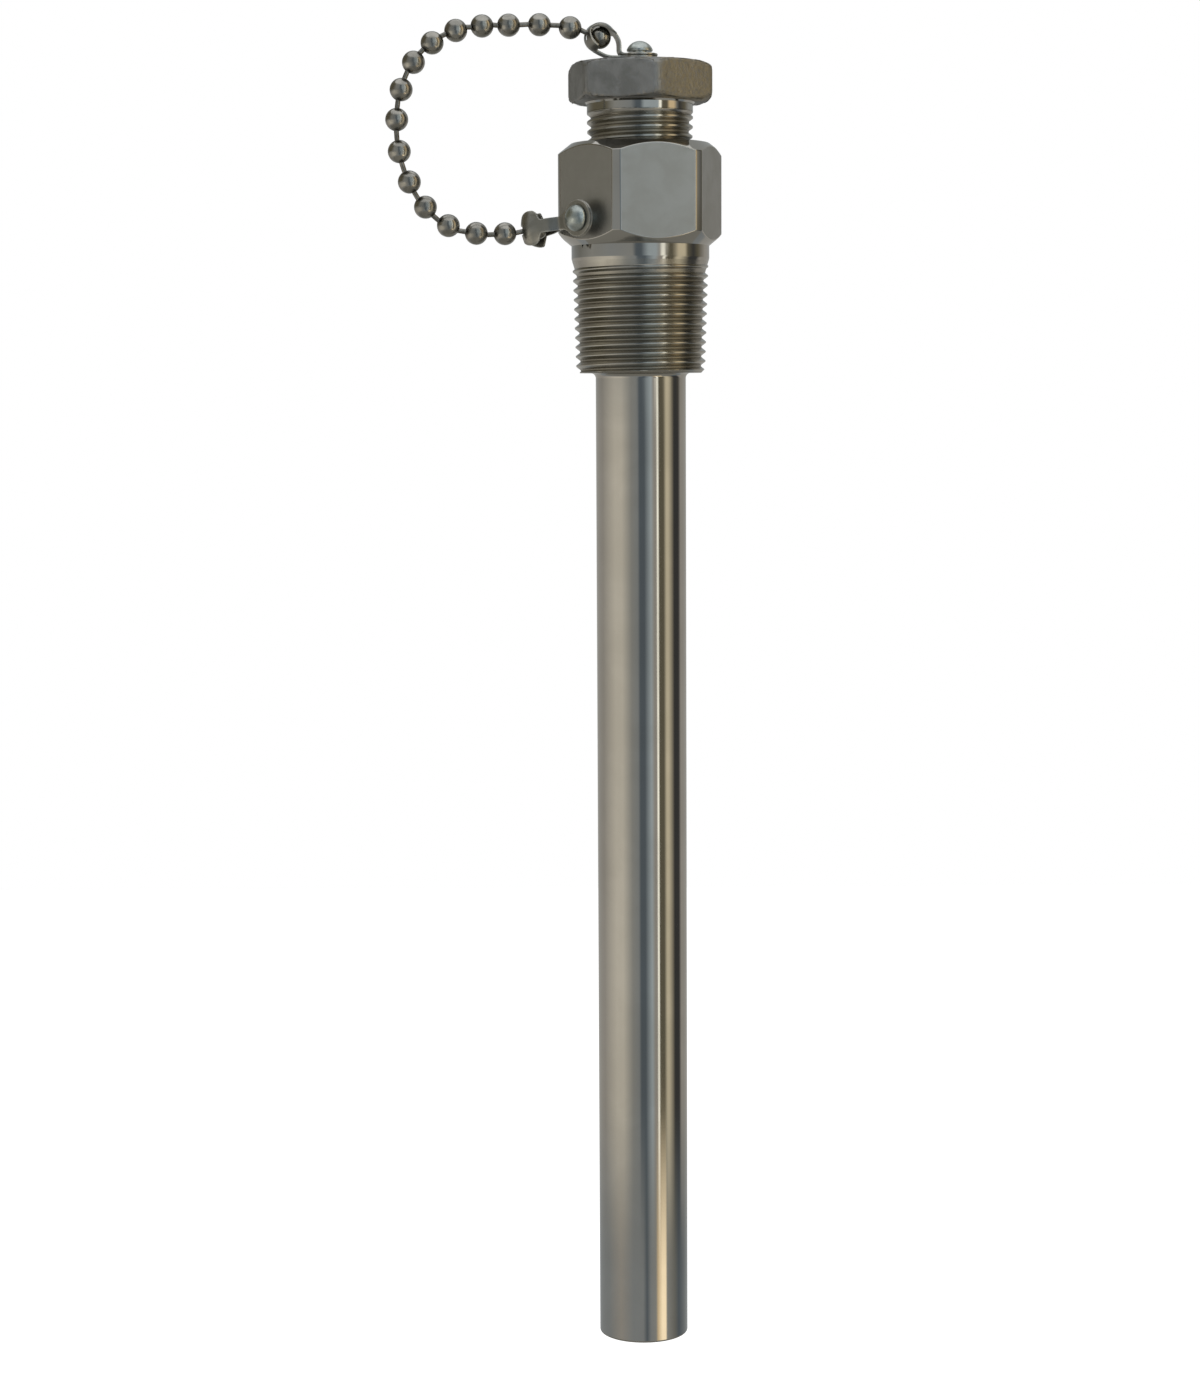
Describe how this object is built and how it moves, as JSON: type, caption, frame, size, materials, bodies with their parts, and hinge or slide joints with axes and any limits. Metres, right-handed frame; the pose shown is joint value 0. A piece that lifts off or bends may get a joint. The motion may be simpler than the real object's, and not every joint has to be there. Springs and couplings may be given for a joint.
{
  "type": "thermowell",
  "caption": "Bar-stock thermowell with a straight stem, a tapered pipe thread and a hexagon head, closed by a screwed plug kept on a ball chain.",
  "frame": {"origin": "on the axis, at the lower end of the process thread", "axes": "+Z along the axis, from the stem towards the plug; the chain hangs out towards -X"},
  "size_m": [0.0642, 0.0318, 0.2586],
  "materials": {
    "well_steel": "turned stainless steel",
    "cast_steel": "cast stainless steel, matte",
    "rivet_zinc": "zinc plated",
    "clasp_steel": "nickel plated sheet",
    "chain_steel": "polished nickel plate"
  },
  "bodies": {
    "well": {"well_body": "well_steel", "body_rivet": "rivet_zinc"},
    "plug": {"plug": "cast_steel", "plug_rivet": "rivet_zinc"},
    "plug_clasp": {"plug_clasp": "clasp_steel"},
    "body_clasp": {"body_clasp": "clasp_steel"},
    "bead_01": {"bead_01": "chain_steel"},
    "bead_02": {"bead_02": "chain_steel"},
    "bead_03": {"bead_03": "chain_steel"},
    "bead_04": {"bead_04": "chain_steel"},
    "bead_05": {"bead_05": "chain_steel"},
    "bead_06": {"bead_06": "chain_steel"},
    "bead_07": {"bead_07": "chain_steel"},
    "bead_08": {"bead_08": "chain_steel"},
    "bead_09": {"bead_09": "chain_steel"},
    "bead_10": {"bead_10": "chain_steel"},
    "bead_11": {"bead_11": "chain_steel"},
    "bead_12": {"bead_12": "chain_steel"},
    "bead_13": {"bead_13": "chain_steel"},
    "bead_14": {"bead_14": "chain_steel"},
    "bead_15": {"bead_15": "chain_steel"},
    "bead_16": {"bead_16": "chain_steel"},
    "bead_17": {"bead_17": "chain_steel"},
    "link_01": {"link_01": "chain_steel"},
    "link_02": {"link_02": "chain_steel"},
    "link_03": {"link_03": "chain_steel"},
    "link_04": {"link_04": "chain_steel"},
    "link_05": {"link_05": "chain_steel"},
    "link_06": {"link_06": "chain_steel"},
    "link_07": {"link_07": "chain_steel"},
    "link_08": {"link_08": "chain_steel"},
    "link_09": {"link_09": "chain_steel"},
    "link_10": {"link_10": "chain_steel"},
    "link_11": {"link_11": "chain_steel"},
    "link_12": {"link_12": "chain_steel"},
    "link_13": {"link_13": "chain_steel"},
    "link_14": {"link_14": "chain_steel"},
    "link_15": {"link_15": "chain_steel"},
    "link_16": {"link_16": "chain_steel"}
  },
  "joints": [
    {"name": "plug_rise", "type": "slide", "parent": "well", "child": "plug_clasp", "axis": [0, 0, 1], "range_m": [0, 0.00771]},
    {"name": "plug_turn", "type": "hinge", "parent": "plug_clasp", "child": "plug", "pos_m": [0, 0, 0.05905], "axis": [0, 0, 1], "range_deg": [0, 1530]},
    {"name": "body_clasp_swivel", "type": "hinge", "parent": "well", "child": "body_clasp", "pos_m": [-0.0101, -0.0101, 0.0291], "axis": [-0.7071, -0.7071, 0], "range_deg": [-30, 30]},
    {"name": "bead_17_in_clasp", "type": "hinge", "parent": "body_clasp", "child": "bead_17", "pos_m": [-0.02006, -0.00497, 0.02741], "axis": [-0.2406, 0.9706, 0], "range_deg": [-20, 20]},
    {"name": "link_16_on_bead_17", "type": "hinge", "parent": "bead_17", "child": "link_16", "pos_m": [-0.02217, -0.00549, 0.02709], "axis": [-0.2406, 0.9706, 0], "range_deg": [-20, 20]},
    {"name": "bead_16_swing", "type": "hinge", "parent": "well", "child": "bead_16", "pos_m": [-0.01902, -0.00471, 0.02755], "axis": [-0.2406, 0.9706, 0], "range_deg": [-10, 10]},
    {"name": "link_15_on_bead_16", "type": "hinge", "parent": "bead_16", "child": "link_15", "pos_m": [-0.02805, -0.00695, 0.02636], "axis": [-0.2406, 0.9706, 0], "range_deg": [-20, 20]},
    {"name": "bead_15_swing", "type": "hinge", "parent": "well", "child": "bead_15", "pos_m": [-0.01798, -0.00446, 0.03041], "axis": [-0.2406, 0.9706, 0], "range_deg": [-10, 10]},
    {"name": "link_14_on_bead_15", "type": "hinge", "parent": "bead_15", "child": "link_14", "pos_m": [-0.03345, -0.00829, 0.02683], "axis": [-0.2406, 0.9706, 0], "range_deg": [-20, 20]},
    {"name": "bead_14_swing", "type": "hinge", "parent": "well", "child": "bead_14", "pos_m": [-0.01398, -0.00346, 0.03398], "axis": [-0.2406, 0.9706, 0], "range_deg": [-10, 10]},
    {"name": "link_13_on_bead_14", "type": "hinge", "parent": "bead_14", "child": "link_13", "pos_m": [-0.03849, -0.00954, 0.02892], "axis": [-0.2406, 0.9706, 0], "range_deg": [-20, 20]},
    {"name": "bead_13_swing", "type": "hinge", "parent": "well", "child": "bead_13", "pos_m": [-0.00249, -0.00062, 0.03849], "axis": [-0.2406, 0.9706, 0], "range_deg": [-10, 10]},
    {"name": "link_12_on_bead_13", "type": "hinge", "parent": "bead_13", "child": "link_12", "pos_m": [-0.04228, -0.01048, 0.033], "axis": [-0.2406, 0.9706, 0], "range_deg": [-20, 20]},
    {"name": "bead_12_swing", "type": "hinge", "parent": "well", "child": "bead_12", "pos_m": [0.0281, 0.00696, 0.04445], "axis": [-0.2406, 0.9706, 0], "range_deg": [-10, 10]},
    {"name": "link_11_on_bead_12", "type": "hinge", "parent": "bead_12", "child": "link_11", "pos_m": [-0.04471, -0.01108, 0.03803], "axis": [-0.2406, 0.9706, 0], "range_deg": [-20, 20]},
    {"name": "bead_11_shift", "type": "slide", "parent": "well", "child": "bead_11", "axis": [-0.0464, -0.0115, 0.9989], "range_m": [0, 0.00285]},
    {"name": "link_10_on_bead_11", "type": "hinge", "parent": "bead_11", "child": "link_10", "pos_m": [-0.04601, -0.0114, 0.04387], "axis": [-0.2406, 0.9706, 0], "range_deg": [-20, 20]},
    {"name": "bead_10_shift", "type": "slide", "parent": "well", "child": "bead_10", "axis": [-0.0427, -0.0106, 0.999], "range_m": [0, 0.00293]},
    {"name": "link_09_on_bead_10", "type": "hinge", "parent": "bead_10", "child": "link_09", "pos_m": [-0.04591, -0.01138, 0.04985], "axis": [-0.2406, 0.9706, 0], "range_deg": [-20, 20]},
    {"name": "bead_09_swing", "type": "hinge", "parent": "well", "child": "bead_09", "pos_m": [-0.1397, -0.03463, 0.04825], "axis": [-0.2406, 0.9706, 0], "range_deg": [-10, 10]},
    {"name": "link_08_on_bead_09", "type": "hinge", "parent": "bead_09", "child": "link_08", "pos_m": [-0.04449, -0.01103, 0.05534], "axis": [-0.2406, 0.9706, 0], "range_deg": [-20, 20]},
    {"name": "bead_08_swing", "type": "hinge", "parent": "well", "child": "bead_08", "pos_m": [-0.10439, -0.02587, 0.05363], "axis": [-0.2406, 0.9706, 0], "range_deg": [-10, 10]},
    {"name": "link_07_on_bead_08", "type": "hinge", "parent": "bead_08", "child": "link_07", "pos_m": [-0.04156, -0.0103, 0.06015], "axis": [-0.2406, 0.9706, 0], "range_deg": [-20, 20]},
    {"name": "bead_07_swing", "type": "hinge", "parent": "well", "child": "bead_07", "pos_m": [-0.0928, -0.023, 0.06011], "axis": [-0.2406, 0.9706, 0], "range_deg": [-10, 10]},
    {"name": "link_06_on_bead_07", "type": "hinge", "parent": "bead_07", "child": "link_06", "pos_m": [-0.03757, -0.00931, 0.06334], "axis": [-0.2406, 0.9706, 0], "range_deg": [-20, 20]},
    {"name": "bead_06_swing", "type": "hinge", "parent": "well", "child": "bead_06", "pos_m": [-0.08696, -0.02155, 0.06562], "axis": [-0.2406, 0.9706, 0], "range_deg": [-10, 10]},
    {"name": "link_05_on_bead_06", "type": "hinge", "parent": "bead_06", "child": "link_05", "pos_m": [-0.03284, -0.00814, 0.06515], "axis": [-0.2406, 0.9706, 0], "range_deg": [-20, 20]},
    {"name": "bead_05_swing", "type": "hinge", "parent": "well", "child": "bead_05", "pos_m": [-0.08366, -0.02073, 0.06992], "axis": [-0.2406, 0.9706, 0], "range_deg": [-10, 10]},
    {"name": "link_04_on_bead_05", "type": "hinge", "parent": "bead_05", "child": "link_04", "pos_m": [-0.02782, -0.0069, 0.06564], "axis": [-0.2406, 0.9706, 0], "range_deg": [-20, 20]},
    {"name": "bead_04_swing", "type": "hinge", "parent": "well", "child": "bead_04", "pos_m": [-0.08072, -0.02001, 0.07161], "axis": [-0.2406, 0.9706, 0], "range_deg": [-10, 10]},
    {"name": "link_03_on_bead_04", "type": "hinge", "parent": "bead_04", "child": "link_03", "pos_m": [-0.02281, -0.00565, 0.06576], "axis": [-0.2406, 0.9706, 0], "range_deg": [-20, 20]},
    {"name": "bead_03_swing", "type": "hinge", "parent": "well", "child": "bead_03", "pos_m": [-0.07888, -0.01955, 0.07199], "axis": [-0.2406, 0.9706, 0], "range_deg": [-10, 10]},
    {"name": "link_02_on_bead_03", "type": "hinge", "parent": "bead_03", "child": "link_02", "pos_m": [-0.01698, -0.00421, 0.06585], "axis": [-0.2406, 0.9706, 0], "range_deg": [-20, 20]},
    {"name": "bead_02_swing", "type": "hinge", "parent": "well", "child": "bead_02", "pos_m": [-0.07969, -0.01975, 0.07171], "axis": [-0.2406, 0.9706, 0], "range_deg": [-10, 10]},
    {"name": "link_01_on_bead_02", "type": "hinge", "parent": "bead_02", "child": "link_01", "pos_m": [-0.0112, -0.00278, 0.06508], "axis": [-0.2406, 0.9706, 0], "range_deg": [-20, 20]},
    {"name": "bead_01_in_clasp", "type": "hinge", "parent": "plug_clasp", "child": "bead_01", "pos_m": [-0.00771, -0.00191, 0.06377], "axis": [-0.2406, 0.9706, 0], "range_deg": [-20, 20]}
  ],
  "couplings": [
    {"joint": "plug_rise", "follows": "plug_turn", "m_per_rad": 0.00028875},
    {"joint": "body_clasp_swivel", "follows": "plug_turn", "ratio": -0.0003268},
    {"joint": "bead_17_in_clasp", "follows": "plug_turn", "ratio": 0.0039296},
    {"joint": "link_16_on_bead_17", "follows": "plug_turn", "ratio": 0.00012889},
    {"joint": "bead_16_swing", "follows": "plug_turn", "ratio": 0.0038272},
    {"joint": "link_15_on_bead_16", "follows": "plug_turn", "ratio": 0.00062},
    {"joint": "bead_15_swing", "follows": "plug_turn", "ratio": 0.003532},
    {"joint": "link_14_on_bead_15", "follows": "plug_turn", "ratio": 0.00092686},
    {"joint": "bead_14_swing", "follows": "plug_turn", "ratio": 0.002992},
    {"joint": "link_13_on_bead_14", "follows": "plug_turn", "ratio": -0.00067764},
    {"joint": "bead_13_swing", "follows": "plug_turn", "ratio": 0.0022239},
    {"joint": "link_12_on_bead_13", "follows": "plug_turn", "ratio": -0.00082161},
    {"joint": "bead_12_swing", "follows": "plug_turn", "ratio": 0.0013771},
    {"joint": "link_11_on_bead_12", "follows": "plug_turn", "ratio": 0.0002542},
    {"joint": "bead_11_shift", "follows": "plug_turn", "m_per_rad": 0.00010671},
    {"joint": "link_10_on_bead_11", "follows": "plug_turn", "ratio": 0.00026944},
    {"joint": "bead_10_shift", "follows": "plug_turn", "m_per_rad": 0.00010955},
    {"joint": "link_09_on_bead_10", "follows": "plug_turn", "ratio": -0.0010458},
    {"joint": "bead_09_swing", "follows": "plug_turn", "ratio": -0.0012174},
    {"joint": "link_08_on_bead_09", "follows": "plug_turn", "ratio": -0.00026859},
    {"joint": "bead_08_swing", "follows": "plug_turn", "ratio": -0.0020554},
    {"joint": "link_07_on_bead_08", "follows": "plug_turn", "ratio": -0.00089714},
    {"joint": "bead_07_swing", "follows": "plug_turn", "ratio": -0.0027675},
    {"joint": "link_06_on_bead_07", "follows": "plug_turn", "ratio": -0.00083065},
    {"joint": "bead_06_swing", "follows": "plug_turn", "ratio": -0.0032719},
    {"joint": "link_05_on_bead_06", "follows": "plug_turn", "ratio": -0.0032084},
    {"joint": "bead_05_swing", "follows": "plug_turn", "ratio": -0.003554},
    {"joint": "link_04_on_bead_05", "follows": "plug_turn", "ratio": -0.0012092},
    {"joint": "bead_04_swing", "follows": "plug_turn", "ratio": -0.0037605},
    {"joint": "link_03_on_bead_04", "follows": "plug_turn", "ratio": -0.00018286},
    {"joint": "bead_03_swing", "follows": "plug_turn", "ratio": -0.0038896},
    {"joint": "link_02_on_bead_03", "follows": "plug_turn", "ratio": -0.00016512},
    {"joint": "bead_02_swing", "follows": "plug_turn", "ratio": -0.003844},
    {"joint": "link_01_on_bead_02", "follows": "plug_turn", "ratio": 0.0020879},
    {"joint": "bead_01_in_clasp", "follows": "plug_turn", "ratio": -0.0037857}
  ]
}
